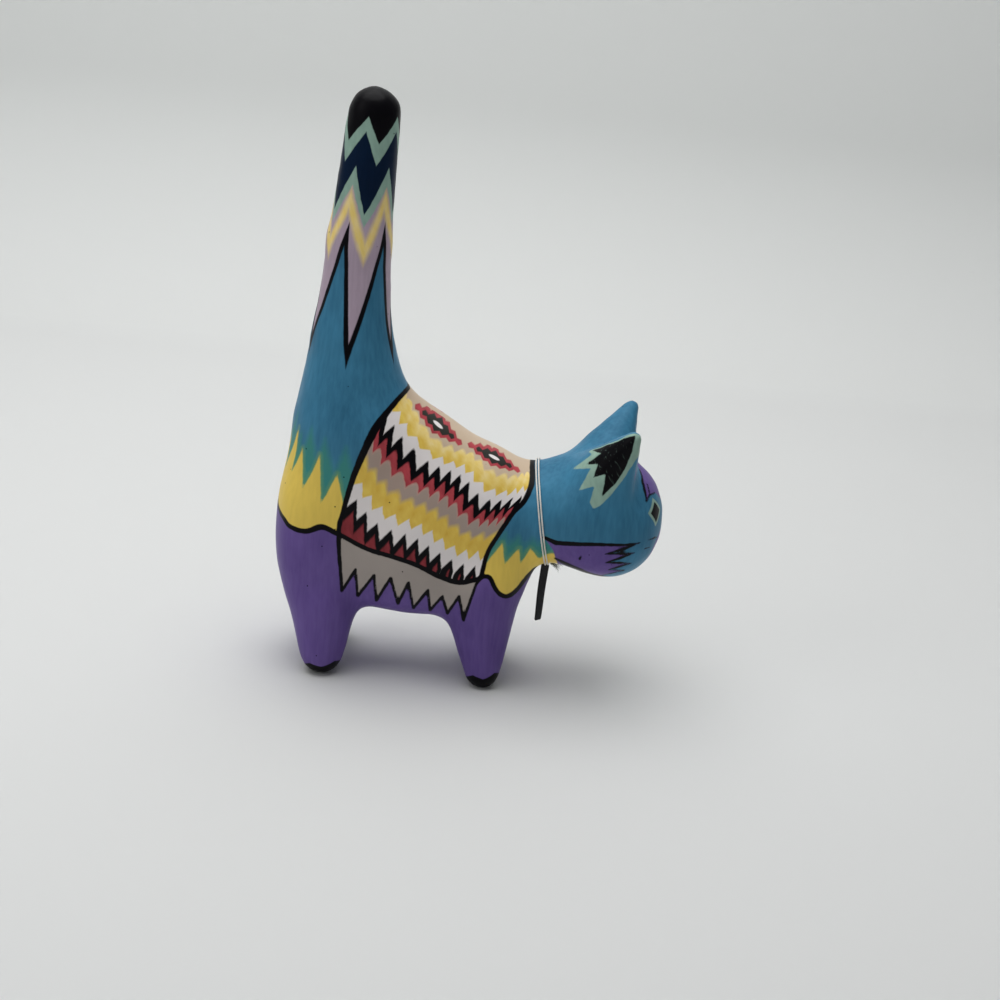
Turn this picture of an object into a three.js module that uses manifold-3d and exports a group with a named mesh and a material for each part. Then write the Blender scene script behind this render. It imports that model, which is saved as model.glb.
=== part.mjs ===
// A painted wooden cat that stands on four stubby legs, with its tail straight up and its head held low.
// It is carved from one block. A doubled cotton cord goes round its neck, and a narrow black strip hangs from it.
// Millimetres, +Z up. The cat looks along +X, and the origin is on the ground under the middle of the cat.
import * as THREE from "three";
import Module from "manifold-3d";
import { mergeVertices } from "three/addons/utils/BufferGeometryUtils.js";

// The carving's driving sizes.
const figureHeight = 281;
const bodyWidth = 60;
const headWidth = 58;
const earSpread = 56;
const footSpread = 38;
const rearFootRadius = 10.8;
const frontFootRadius = 9;
const soleSink = 0.9;

// The cord, its knot and the strip that hangs beside the knot.
const strandDiameter = 0.8;
const strandPitch = 1.25;
const cordClearance = 0.3;
const knotRadius = 1.6;
const stripLength = 30;
const stripWidth = 3.9;
const stripThickness = 0.9;
const stripClearance = 0.4;
const stripSetBack = 1.1;
const stripTwistDegrees = 42;
const stripLeanDegrees = 2.4;

// How finely the carving, the cord and the strip are meshed.
const cellsInHeight = 51;
const fineness = 0.72;
const cordSteps = 40;
const cordSides = 6;
const stripSteps = 9;

// The carving's pose and proportions are hundredths of its height.
const share = figureHeight / 100;

// Each limb is a run of balls under one skin: places along the cat and up, and radius, as shares.
const tailBalls = [
  { x: -12.3, z: 44.5, radius: 9.9 },
  { x: -13.4, z: 58.7, radius: 6.5 },
  { x: -13.2, z: 74.7, radius: 5.2 },
  { x: -12.1, z: 95.7, radius: 4.3 },
];
const neckBalls = [
  { x: 13.5, z: 29.6, radius: 6.5 },
  { x: 27.8, z: 31.7, radius: 10 },
];
const hipBall = { x: -15, z: 12.7, radius: 6 };
const shoulderBall = { x: 11.7, z: 18.4, radius: 7.3 };
const rearFootX = -14.5;
const frontFootX = 13.4;
const earBase = { x: 31.7, z: 40.5, radius: 5 };
const earTip = { x: 35.1, z: 48.6, radius: 1.2 };

// How far out the hips, shoulders and ear roots sit, as shares of half the width there.
const hipOut = 0.45;
const shoulderOut = 0.36;
const earRootOut = 0.45;

// How far inside the head's sides the neck's widest ball stays, in millimetres.
const neckInset = 0.9;

// Each mass of the trunk and head is a squarish oval: its middle, half length and half height, as shares.
const rump = { x: -17.3, z: 25.5, halfLength: 6.9, halfHeight: 14.9, squareness: 2.4 };
const barrel = { x: -4.7, z: 29.1, halfLength: 14.3, halfHeight: 18.1, squareness: 2.6 };
const chest = { x: 5.1, z: 26.5, halfLength: 16.2, halfHeight: 15.9, squareness: 2.3 };
const skull = { x: 31.3, z: 31.9, halfLength: 7.1, halfHeight: 9.8, squareness: 2.6 };
const face = { x: 32.9, z: 30.9, halfLength: 8.8, halfHeight: 10.4, squareness: 2.05 };

// The ears and the skull are cut to one flat front, and the rounded face stands out of it.
const frontX = 35.3;
const frontZ = 31.3;
const frontLean = 0.05;
const faceInset = 0.8;

// How softly one mass runs into the next, as shares.
const trunkBlend = 3.6;
const tailBlend = 6.4;
const limbBlend = 2.8;
const earBlend = 3.2;
const tailJointBlend = 1.4;
const faceBlend = 1.4;
const frontEdge = 1;

// The cord's loop lies in a plane that crosses the middle of the neck and leans back at the top, as shares.
const cordMiddle = { x: 21.1, z: 30.6 };
const cordTop = { x: 19.3, z: 40 };

// Distance to the skin over two balls, below zero inside.
function ballPairDistance(point, first, second) {
  const along = second.centre.clone().sub(first.centre);
  const lengthSquared = along.lengthSq();
  const taper = first.radius - second.radius;
  const slant = lengthSquared - taper * taper;
  const fromFirst = point.clone().sub(first.centre);
  const before = fromFirst.dot(along);
  const beyond = before - lengthSquared;
  const across = fromFirst.multiplyScalar(lengthSquared).addScaledVector(along, -before).lengthSq();
  const beforeSquared = before * before * lengthSquared;
  const beyondSquared = beyond * beyond * lengthSquared;
  const limit = Math.sign(taper) * taper * taper * across;
  if (Math.sign(beyond) * slant * beyondSquared > limit) {
    return Math.sqrt(across + beyondSquared) / lengthSquared - second.radius;
  }
  if (Math.sign(before) * slant * beforeSquared < limit) {
    return Math.sqrt(across + beforeSquared) / lengthSquared - first.radius;
  }
  return (Math.sqrt((across * slant) / lengthSquared) + before * taper) / lengthSquared - first.radius;
}

// Distance to a squarish oval, close to true near its skin.
function ovalDistance(point, oval) {
  const least = 1e-6;
  const power = oval.squareness;
  const reaches = [point.x - oval.x, point.y, point.z - oval.z].map((v, i) =>
    Math.max(Math.abs(v) / oval.half[i], least),
  );
  const reach = reaches.reduce((sum, r) => sum + r ** power, 0) ** (1 / power);
  const slopes = reaches.map((r, i) => (r ** (power - 1) / oval.half[i]) * reach ** (1 - power));
  return (reach - 1) / Math.hypot(...slopes);
}

// Joins two distances with a soft crease.
function blend(a, b, softness) {
  const overlap = Math.max(softness - Math.abs(a - b), 0) / softness;
  return Math.min(a, b) - (overlap * overlap * softness) / 4;
}

// Keeps only what two distances share, with a soft edge.
function trim(a, b, softness) {
  return -blend(-a, -b, softness);
}

function ball(drawn, y = 0) {
  return {
    centre: new THREE.Vector3(drawn.x * share, y, drawn.z * share),
    radius: drawn.radius * share,
  };
}

function oval(drawn, halfWidth) {
  return {
    x: drawn.x * share,
    z: drawn.z * share,
    half: [drawn.halfLength * share, halfWidth, drawn.halfHeight * share],
    squareness: drawn.squareness,
  };
}

function foot(x, radius) {
  return { centre: new THREE.Vector3(x * share, footSpread / 2, radius - soleSink), radius };
}

// The whole carving as one distance. Both sides of the cat are alike, so one ear and two legs are named.
function makeCarving() {
  const tail = tailBalls.map((drawn) => ball(drawn));
  const neck = neckBalls.map((drawn) => ball(drawn));
  const neckSquash = neck[1].radius / (headWidth / 2 - neckInset);
  const masses = [rump, barrel, chest].map((drawn) => oval(drawn, bodyWidth / 2));
  const skullOval = oval(skull, headWidth / 2);
  const faceOval = oval(face, headWidth / 2 - faceInset);
  const hip = ball(hipBall, (hipOut * bodyWidth) / 2);
  const shoulder = ball(shoulderBall, (shoulderOut * bodyWidth) / 2);
  const earRoot = ball(earBase, (earRootOut * headWidth) / 2);
  const earEnd = ball(earTip, earSpread / 2 - earTip.radius * share);
  const rearFoot = foot(rearFootX, rearFootRadius);
  const frontFoot = foot(frontFootX, frontFootRadius);
  return (point) => {
    const side = new THREE.Vector3(point.x, Math.abs(point.y), point.z);
    let body = masses.map((mass) => ovalDistance(point, mass)).reduce((a, b) => blend(a, b, trunkBlend * share));
    const tailParts = tail.slice(1).map((next, i) => ballPairDistance(point, tail[i], next));
    body = blend(body, tailParts.reduce((a, b) => blend(a, b, tailJointBlend * share)), tailBlend * share);
    body = blend(body, ballPairDistance(side, hip, rearFoot), limbBlend * share);
    body = blend(body, ballPairDistance(side, shoulder, frontFoot), limbBlend * share);
    const neckPoint = new THREE.Vector3(point.x, point.y * neckSquash, point.z);
    const neckPart = ballPairDistance(neckPoint, neck[0], neck[1]);
    let head = blend(neckPart, ovalDistance(point, skullOval), limbBlend * share);
    head = blend(head, ballPairDistance(side, earRoot, earEnd), earBlend * share);
    const beyondFront = point.x - frontX * share - frontLean * (point.z - frontZ * share);
    head = trim(head, beyondFront, frontEdge * share);
    head = blend(head, ovalDistance(point, faceOval), faceBlend * share);
    return blend(body, head, trunkBlend * share);
  };
}

// Grid lines from a run of [start, step] spans, up to an end.
function gridLines(spans, end) {
  const lines = [];
  spans.forEach(([start, step], i) => {
    const stop = i + 1 < spans.length ? spans[i + 1][0] : end;
    const count = Math.max(1, Math.round((stop - start) / step));
    for (let k = 0; k < count; k++) lines.push(start + ((stop - start) * k) / count);
  });
  lines.push(end);
  return lines;
}

// Moves a point onto the skin of a field.
function settle(field, point) {
  const reach = 0.2;
  const steps = 4;
  for (let i = 0; i < steps; i++) {
    const slope = new THREE.Vector3();
    for (const axis of ["x", "y", "z"]) {
      const ahead = point.clone();
      const behind = point.clone();
      ahead[axis] += reach;
      behind[axis] -= reach;
      slope[axis] = (field(ahead) - field(behind)) / (2 * reach);
    }
    point.addScaledVector(slope, -field(point) / Math.max(slope.lengthSq(), 0.1));
  }
  return point;
}

// A closed mesh of a field's skin: a vertex in each cell that the skin crosses, and a quad for each grid edge.
function meshField(field, [xs, ys, zs]) {
  const [nx, ny, nz] = [xs.length, ys.length, zs.length];
  const at = (i, j, k) => (i * ny + j) * nz + k;
  const corner = (i, j, k) => new THREE.Vector3(xs[i], ys[j], zs[k]);
  const values = new Float64Array(nx * ny * nz);
  for (let i = 0; i < nx; i++) {
    for (let j = 0; j < ny; j++) {
      for (let k = 0; k < nz; k++) values[at(i, j, k)] = field(corner(i, j, k));
    }
  }
  const cellEdges = [];
  for (let c = 0; c < 8; c++) {
    for (const bit of [1, 2, 4]) if (!(c & bit)) cellEdges.push([c, c | bit]);
  }
  const cornerStep = (c) => [c & 1, (c >> 1) & 1, (c >> 2) & 1];
  const cellVertex = new Int32Array(nx * ny * nz).fill(-1);
  const points = [];
  for (let i = 0; i < nx - 1; i++) {
    for (let j = 0; j < ny - 1; j++) {
      for (let k = 0; k < nz - 1; k++) {
        const middle = new THREE.Vector3();
        let crossings = 0;
        for (const [a, b] of cellEdges) {
          const [ai, aj, ak] = cornerStep(a);
          const [bi, bj, bk] = cornerStep(b);
          const va = values[at(i + ai, j + aj, k + ak)];
          const vb = values[at(i + bi, j + bj, k + bk)];
          if (va < 0 === vb < 0) continue;
          const start = corner(i + ai, j + aj, k + ak);
          middle.add(start.lerp(corner(i + bi, j + bj, k + bk), va / (va - vb)));
          crossings++;
        }
        if (!crossings) continue;
        cellVertex[at(i, j, k)] = points.length;
        points.push(settle(field, middle.divideScalar(crossings)));
      }
    }
  }
  const faces = [];
  const addQuad = (quad, turned) => {
    const [a, b, c, d] = turned ? [...quad].reverse() : quad;
    const split = points[a].distanceToSquared(points[c]) <= points[b].distanceToSquared(points[d]);
    faces.push(...(split ? [a, b, c, a, c, d] : [a, b, d, b, c, d]));
  };
  for (let i = 1; i < nx - 1; i++) {
    for (let j = 1; j < ny - 1; j++) {
      for (let k = 1; k < nz - 1; k++) {
        const inside = values[at(i, j, k)] < 0;
        const cell = (di, dj, dk) => cellVertex[at(i - di, j - dj, k - dk)];
        if (inside !== values[at(i + 1, j, k)] < 0) {
          addQuad([cell(0, 1, 1), cell(0, 0, 1), cell(0, 0, 0), cell(0, 1, 0)], !inside);
        }
        if (inside !== values[at(i, j + 1, k)] < 0) {
          addQuad([cell(1, 0, 1), cell(1, 0, 0), cell(0, 0, 0), cell(0, 0, 1)], !inside);
        }
        if (inside !== values[at(i, j, k + 1)] < 0) {
          addQuad([cell(1, 1, 0), cell(0, 1, 0), cell(0, 0, 0), cell(1, 0, 0)], !inside);
        }
      }
    }
  }
  const geometry = new THREE.BufferGeometry();
  geometry.setAttribute("position", new THREE.Float32BufferAttribute(points.flatMap((p) => p.toArray()), 3));
  geometry.setIndex(faces);
  return geometry;
}

const wasm = await Module();
wasm.setup();

function toSolid(geometry) {
  const bare = geometry.clone();
  bare.deleteAttribute("normal");
  bare.deleteAttribute("uv");
  const merged = mergeVertices(bare, 1e-4);
  const vertProperties = merged.attributes.position.array;
  const triVerts = new Uint32Array(merged.index.array);
  return new wasm.Manifold(new wasm.Mesh({ numProp: 3, vertProperties, triVerts }));
}

function toGeometry(solid) {
  const mesh = solid.getMesh();
  const geometry = new THREE.BufferGeometry();
  geometry.setAttribute("position", new THREE.BufferAttribute(mesh.vertProperties, 3));
  geometry.setIndex(new THREE.BufferAttribute(mesh.triVerts, 1));
  geometry.computeVertexNormals();
  return geometry;
}

// The carving, with its feet cut flat where they meet the ground. The grid is finer at the ears and feet.
function makeCat(carving) {
  const cell = figureHeight / cellsInHeight;
  const fine = cell * fineness;
  const tall = cell * 1.3;
  const margin = 2 * cell;
  const tailEnd = tailBalls[tailBalls.length - 1];
  const back = (rump.x - rump.halfLength) * share - margin;
  const front = (face.x + face.halfLength) * share + margin;
  const side = Math.max(bodyWidth, headWidth, footSpread + 2 * rearFootRadius, earSpread) / 2 + margin;
  const earSide = (earRootOut * headWidth) / 2;
  const alongLines = gridLines([[back, cell], [(earBase.x - earBase.radius) * share, fine]], front);
  const acrossLines = gridLines([[-side, fine], [-earSide, cell], [earSide, fine]], side);
  const upLines = gridLines(
    [
      [-soleSink - margin, fine],
      [2 * rearFootRadius, cell],
      [(earBase.z - earBase.radius) * share, fine],
      [(earTip.z + earTip.radius) * share, tall],
      [tailEnd.z * share, fine],
    ],
    (tailEnd.z + tailEnd.radius) * share + margin,
  );
  const geometry = meshField(carving, [alongLines, acrossLines, upLines]);
  const ground = new THREE.BoxGeometry(2 * figureHeight, 2 * figureHeight, figureHeight);
  ground.translate(0, 0, -figureHeight / 2);
  return toGeometry(toSolid(geometry).subtract(toSolid(ground)));
}

// The place on a ray from inside the neck where the carving is a given distance away.
function skinPoint(carving, start, direction, clearance) {
  let near = 0;
  let far = 1.5 * bodyWidth;
  const halvings = 40;
  for (let i = 0; i < halvings; i++) {
    const reach = (near + far) / 2;
    if (carving(start.clone().addScaledVector(direction, reach)) < clearance) near = reach;
    else far = reach;
  }
  return start.clone().addScaledVector(direction, far);
}

const neckMiddle = new THREE.Vector3(cordMiddle.x * share, 0, cordMiddle.z * share);
const neckUp = new THREE.Vector3(cordTop.x * share, 0, cordTop.z * share).sub(neckMiddle).normalize();
const neckAlong = new THREE.Vector3(0, 1, 0).cross(neckUp);
const neckDown = neckUp.clone().negate();

// One strand of the cord: a closed ring of tube that lies on the neck.
function makeStrand(carving, offset) {
  const middle = neckMiddle.clone().addScaledVector(neckAlong, offset);
  const points = [];
  for (let i = 0; i < cordSteps; i++) {
    const angle = (2 * Math.PI * i) / cordSteps;
    const direction = new THREE.Vector3(0, Math.sin(angle), 0).addScaledVector(neckUp, Math.cos(angle));
    points.push(skinPoint(carving, middle, direction, strandDiameter / 2 + cordClearance));
  }
  const path = new THREE.CatmullRomCurve3(points, true);
  return toSolid(new THREE.TubeGeometry(path, cordSteps, strandDiameter / 2, cordSides, true));
}

// Two strands side by side, and the knot under the throat that joins them.
function makeCord(carving) {
  const strands = [-1, 1].map((side) => makeStrand(carving, (side * strandPitch) / 2));
  const knot = new THREE.SphereGeometry(knotRadius, 10, 8);
  const start = neckMiddle.clone();
  start.y = knotRadius;
  knot.translate(...skinPoint(carving, start, neckDown, knotRadius + cordClearance).toArray());
  return toGeometry(strands[0].add(strands[1]).add(toSolid(knot)));
}

// A narrow strip that hangs beside the knot and twists a little on its way down.
function makeStrip() {
  const strip = new THREE.BoxGeometry(stripWidth, stripThickness, stripLength, 1, 1, stripSteps);
  strip.translate(0, 0, -stripLength / 2);
  const places = strip.attributes.position;
  const twist = THREE.MathUtils.degToRad(stripTwistDegrees);
  const upright = new THREE.Vector3(0, 0, 1);
  for (let i = 0; i < places.count; i++) {
    const place = new THREE.Vector3().fromBufferAttribute(places, i);
    place.applyAxisAngle(upright, (twist * -place.z) / stripLength);
    places.setXYZ(i, ...place.toArray());
  }
  return strip;
}

const paintedWood = new THREE.MeshStandardMaterial({ color: "#3d7ba0", roughness: 0.5, metalness: 0 });
const cottonCord = new THREE.MeshStandardMaterial({ color: "#e4e0d4", roughness: 0.9, metalness: 0 });
const blackStrip = new THREE.MeshStandardMaterial({ color: "#141416", roughness: 0.6, metalness: 0 });

const carving = makeCarving();
const cat = new THREE.Mesh(makeCat(carving), paintedWood);
cat.name = "cat";
const neckCord = new THREE.Mesh(makeCord(carving), cottonCord);
neckCord.name = "neck_cord";
const hangingStrip = new THREE.Mesh(makeStrip(), blackStrip);
hangingStrip.name = "hanging_strip";
const hangStart = neckMiddle.clone();
hangStart.y = -stripClearance - stripThickness / 2;
hangStart.x -= stripSetBack;
const belowCord = cordClearance + strandDiameter + stripClearance;
hangingStrip.position.copy(skinPoint(carving, hangStart, neckDown, belowCord));
hangingStrip.rotation.y = THREE.MathUtils.degToRad(stripLeanDegrees);

// The figure stands with the middle of its box over the origin.
cat.geometry.computeBoundingBox();
const middle = cat.geometry.boundingBox.getCenter(new THREE.Vector3());
const figure = new THREE.Group();
figure.name = "painted_cat";
figure.position.set(-middle.x, -middle.y, 0);
figure.add(cat, neckCord, hangingStrip);

export default figure;
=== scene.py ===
"""Dresses the painted wooden cat: its carved and painted skin, the neck cord and the hanging strip."""
import math

import bmesh
import bpy
import numpy as np
from mathutils import Matrix, Vector, noise
from mathutils.bvhtree import BVHTree


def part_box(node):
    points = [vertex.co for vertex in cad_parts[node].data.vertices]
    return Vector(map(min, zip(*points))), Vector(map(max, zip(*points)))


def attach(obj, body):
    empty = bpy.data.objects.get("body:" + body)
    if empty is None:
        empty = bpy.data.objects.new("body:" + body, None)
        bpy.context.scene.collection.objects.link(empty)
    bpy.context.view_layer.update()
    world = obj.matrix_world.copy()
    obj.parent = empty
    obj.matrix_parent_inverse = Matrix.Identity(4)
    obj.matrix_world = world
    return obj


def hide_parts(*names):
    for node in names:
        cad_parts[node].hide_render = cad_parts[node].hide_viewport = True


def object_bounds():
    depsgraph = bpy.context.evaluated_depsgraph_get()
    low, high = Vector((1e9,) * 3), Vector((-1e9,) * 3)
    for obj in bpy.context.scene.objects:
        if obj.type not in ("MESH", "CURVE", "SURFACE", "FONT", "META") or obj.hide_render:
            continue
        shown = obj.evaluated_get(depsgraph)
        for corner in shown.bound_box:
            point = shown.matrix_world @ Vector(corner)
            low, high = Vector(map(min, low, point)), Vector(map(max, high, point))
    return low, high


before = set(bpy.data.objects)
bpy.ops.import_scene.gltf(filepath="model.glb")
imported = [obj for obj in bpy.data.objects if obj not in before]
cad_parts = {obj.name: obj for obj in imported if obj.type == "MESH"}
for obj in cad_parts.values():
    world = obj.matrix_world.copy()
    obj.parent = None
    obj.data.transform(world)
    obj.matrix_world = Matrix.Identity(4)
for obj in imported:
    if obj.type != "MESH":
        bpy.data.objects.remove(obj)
CAD_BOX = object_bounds()

bl_info = {
    "name": "Painted wooden cat",
    "version": (1, 0, 0),
    "blender": (4, 5, 0),
    "location": "3D View > Sidebar > Painted cat",
    "description": "Builds the looks of a carved and painted wooden cat round its packed solids",
    "category": "Object",
}

MM = 0.001

# The camera: where it aims, how far back it stands, how steeply it looks down and how far it is rolled.
AIM = Vector((0.0139, 0.0, 0.0896))
CAMERA_DISTANCE = 0.950
LOOK_DOWN = math.radians(21)
CAMERA_ROLL = math.radians(5.5)
LENS_MM = 71.14
SENSOR_MM = 36

# Painted outlines on the sides are drawn in a plane seen from this slope, the same on the left and the right.
SIDE_SLOPE = math.tan(LOOK_DOWN)
# How wide the soft bend of the drawing over the spine is.
SPINE_SOFTNESS = 4.0
# The rump's plan is an oval that the side drawing is wrapped round: its middle, half length and half width,
# and the length of drawing that goes with one radian of turn.
RUMP_MIDDLE_X = -64.0
RUMP_HALF_LENGTH = 28.6
RUMP_HALF_WIDTH = 30.0
RUMP_ROLL = 29.0

# Side drawing, in millimetres: place along the cat (wrapped round the rump) and slanted height.
RUMP_FLAMES = [
    (-114, 96), (-109.5, 96), (-100.5, 116), (-100, 95), (-90, 117.5), (-89.5, 93.5), (-84.5, 107.5),
    (-79.5, 87.5), (-72.5, 105), (-69.5, 80.5), (-62.5, 96), (-58, 78.5), (-50, 76), (-50, 40), (-114, 40),
]
RUMP_GREEN = [
    (-114, 104), (-109, 108), (-104, 125), (-102, 107), (-95, 125), (-92, 108), (-87, 115), (-84.5, 105),
    (-79, 118), (-74, 102), (-70, 113), (-64, 96), (-59, 110), (-54, 92), (-48, 92), (-48, 40), (-114, 40),
]
CHEST_FLAMES = [
    (6, 50), (11, 60), (17, 69.5), (19, 59), (25, 67.5), (26.5, 60), (30.5, 68), (35, 63), (38, 65.5),
    (41.5, 67), (45, 64), (50, 62.5), (54, 58), (54, 40), (6, 40),
]
CHEST_GREEN = [
    (6, 55), (12, 68), (18, 75), (19.5, 69), (24.5, 73.5), (27.5, 68), (31, 73.5), (34, 70.5), (37.5, 75),
    (40.5, 70), (44, 64), (52, 62), (56, 56), (56, 40), (6, 40),
]
PURPLE_BELOW = [
    (-116, 82), (-109.5, 82), (-103.5, 81.5), (-95, 76.5), (-87.5, 71.5), (-82.5, 67.5), (-75, 66), (-68, 69),
    (-60, 66), (-50, 62), (-20, 54), (8.5, 51.5), (12.5, 51.5), (16.5, 45), (21, 42.5), (25.5, 45.5),
    (30, 52.5), (34, 57.5), (37, 57), (40, 50), (60, 50), (60, -20), (-116, -20),
]
BLANKET_LEFT = [
    (-34, 142), (-41, 130.5), (-46.5, 120), (-51, 107.5), (-54.5, 96.5), (-57, 86), (-58.5, 77.5), (-60, 65),
]
BLANKET_RIGHT = [(27.5, 109), (28, 101), (25.5, 92), (20.5, 85), (15, 74), (10.5, 64), (8.5, 49)]
BLANKET_HEM = [(-46, 60), (-32, 57), (-21.5, 54), (-11, 49.5), (-1.5, 47.5)]
APRON = [
    (-60, 68), (-57, 37), (-51, 49), (-49.5, 35), (-42, 47), (-40.5, 33.5), (-34, 46.5), (-30, 33),
    (-25.5, 45), (-22.5, 31.5), (-16, 42), (-14.5, 31), (-9, 39.5), (-6, 30.5), (-1, 40.5), (2, 28),
    (6.5, 47.5), (8, 52),
]
CHEEK = [
    (36, 74.5), (42, 72), (49.5, 72.5), (61, 73.5), (74.5, 74.5), (81.5, 76.5), (77, 73.5), (65.5, 69),
    (79.5, 71), (66, 64.5), (79, 65.5), (68, 61), (76, 61.5), (66.5, 58), (62, 48), (52, 52), (46, 58.5),
    (43, 63.5), (41, 68.5),
]
EAR_BLACK = [
    (73, 129), (62, 125), (52.5, 120.5), (58.5, 119), (52, 112.5), (57.5, 113.5), (56, 106.5), (61.5, 109),
    (60.8, 97.5), (66, 104), (70, 112), (72.5, 121),
]
EAR_SAGE = [
    (79, 133), (70, 131), (60, 126), (51.5, 121), (54.5, 118), (46.3, 109.8), (54.5, 111), (50, 99.5),
    (57, 102.5), (55.5, 94), (57.5, 91.2), (60, 92.5), (65, 98.5), (70.5, 108.5), (74.5, 117), (79, 124),
]
# The last two corners of the blanket's outline, high above the spine.
BLANKET_TOP = [(27.5, 125), (-34, 155)]
# The ears' paint lies outwards of their inner edge. The edge stands this far from the middle at this height,
# leans out by this much a millimetre, and on the right side closes in behind this place along the cat.
EAR_EDGE_Y = 13
EAR_EDGE_Z = 113.8
EAR_EDGE_LEAN = 0.51
EAR_EDGE_X = 66
EAR_EDGE_TURN = 0.45
# Below this height an ear's foot spreads inwards to this distance from the middle.
EAR_FOOT_Z = 119.5
EAR_FOOT_Y = 8
# How far the sage reaches inwards over that edge.
EAR_RIM = 1
# The purple in an ear is painted on what lies ahead of this place along the cat.
INNER_EAR_X = 72.5
# Front drawing, in millimetres: distance from the middle and height. It lies ahead of FACE_X, and behind that
# its edges give way by FACE_FADE millimetres a millimetre.
FACE_X = 76
FACE_FADE = 3
BROW = [
    (-1, 115), (4, 113.5), (11, 110), (14, 107), (17.5, 102.5), (13.5, 104.5), (8, 104), (4, 100.5), (-1, 97),
]
MUZZLE = [(-1, 87), (5, 86.5), (9, 84.5), (11.5, 81), (12.5, 77), (11.5, 72), (8, 67), (3.5, 65), (-1, 64.5)]
EYE = [(19.5, 97.3), (12.5, 103), (7.5, 96), (15.5, 89.8)]
EYE_RIM = 1.3
NOSE = [(-1, 87.5), (4.6, 86.5), (3.2, 84), (0, 81), (-1, 81)]
INNER_EAR = [(22, 127.5), (14, 117.5), (21.5, 113.5)]

# Brushed black lines: the side or front places they pass, and half their width there.
SIDE_LINES = {
    "rump hem": [
        (-114, 82, 1), (-103.5, 81.5, 1), (-95, 76.5, 1), (-87.5, 71.5, 1.1), (-82.5, 67.5, 1.2),
        (-75, 66, 1.3), (-68, 69, 1.5), (-60, 66, 1.2),
    ],
    "blanket left": [
        (-33.5, 143, 1), (-41, 130.5, 1.35), (-46.5, 120, 1.9), (-51, 107.5, 1.7), (-54.5, 96.5, 1.45),
        (-57, 86, 1.3), (-58.5, 77.5, 1.2), (-60, 66.5, 1.1), (-57, 37, 0.8),
    ],
    "blanket right": [
        (27.5, 111, 1.2), (28, 101, 1.4), (25.5, 92, 1.2), (20.5, 85, 1.2), (15, 74, 1.1), (10.5, 64, 1.1),
        (8.5, 51.5, 1.1),
    ],
    "blanket hem": [
        (-59.5, 66, 1.1), (-46, 60, 1.2), (-32, 57, 1.2), (-21.5, 54, 1.2), (-11, 49.5, 1.3),
        (-1.5, 47.5, 1.3), (8, 50.5, 1.1),
    ],
    "apron": [(x, h, 0.72) for x, h in APRON[1:-1]] + [(8.5, 51.5, 0.9)],
    "chest hem": [
        (8.5, 51.5, 1.1), (12.5, 51.5, 1.1), (16.5, 45, 1.1), (21, 42.5, 1.2), (25.5, 45.5, 1.1),
        (30, 52.5, 1), (34, 57.5, 0.9), (37, 57.5, 0.8),
    ],
    "cheek": [
        (36, 74.5, 0.8), (42, 72.2, 1.2), (49.5, 72.5, 1.1), (61, 73.5, 0.9), (74.5, 74.5, 0.7),
        (81.5, 76.5, 0.3), (74, 72.5, 0.85), (65.5, 69, 0.3), (73, 70.2, 0.8), (79.5, 71, 0.2),
        (73, 67.8, 0.75), (66, 64.5, 0.2), (73, 65.2, 0.7), (79, 65.5, 0.2), (73, 63.2, 0.6),
        (68, 61, 0.2), (76, 61.5, 0.3), (66.5, 58, 0.2),
    ],
    "under the jaw": [(42.5, 64.2, 0.5), (47.5, 62, 0.9), (54, 59.8, 0.9), (62, 57.4, 0.7), (72, 56.5, 0.4)],
    "cheek spot": [(54, 65.4, 0.7), (54.6, 67.2, 0.3)],
}
ROUND_LINES = ("rump hem", "blanket left", "blanket right", "blanket hem", "chest hem", "under the jaw")
FRONT_LINES = {
    "brow": [
        (4, 113.5, 0.4), (11, 110, 0.5), (14, 107, 0.6), (17.5, 102.5, 0.3), (13.5, 104.5, 0.4),
        (8, 104, 0.3),
    ],
    "brow stroke": [(9.5, 108.5, 0.3), (12.5, 105.5, 0.5)],
    "upper whisker": [(20.5, 84.5, 0.3), (15.5, 84, 0.6), (10.5, 82.5, 0.2)],
    "lower whisker": [(20.5, 80, 0.3), (17.5, 79.5, 0.4)],
    "mouth": [(0, 81, 0.6), (0, 77, 0.5), (4, 74, 0.6), (9, 74.8, 0.3)],
}

# The blanket's rows are brushed between guide rows: columns across, and how far down each guide lies.
BLANKET_COLUMNS = 12.5
COLUMN_WIDTH = 5.0
BLANKET_DEPTH = 72.0
GUIDE_COLUMNS = [0, 1, 2, 3, 4.5, 6, 7, 8, 9, 10, 11, 12, 12.5]
UPPER_GUIDE = [0.02, 0.067, 0.115, 0.165, 0.203, 0.19, 0.158, 0.178, 0.21, 0.19, 0.152, 0.07, 0.04]
MIDDLE_GUIDE = [0.18, 0.232, 0.272, 0.295, 0.335, 0.33, 0.314, 0.325, 0.37, 0.398, 0.355, 0.26, 0.22]
LOWER_GUIDE = [0.70, 0.752, 0.80, 0.837, 0.848, 0.837, 0.85, 0.875, 0.895, 0.91, 0.91, 0.893, 0.88]
GUIDE_LEVELS = [0.165, 0.328, 0.85]
# How far the rows still follow the lowest guide below it.
BELOW_GUIDES = 0.2
# How many lines across the blanket a point is placed between, and how many points are placed at a time.
BLANKET_LINES = 241
BATCH = 4096
# The columns where the teeth of the upper and of the lower rows have their peaks.
UPPER_PEAKS = [0.05, 1.0, 1.98, 3.25, 4.65, 5.61, 6.51, 7.32, 8.21, 9.33, 10.37, 11.06, 11.63, 12.1, 12.6]
LOWER_PEAKS = [-0.2, 0.85, 1.91, 3.03, 4.3, 5.49, 6.56, 7.6, 8.63, 9.74, 10.75, 11.73, 12.7]
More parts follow.
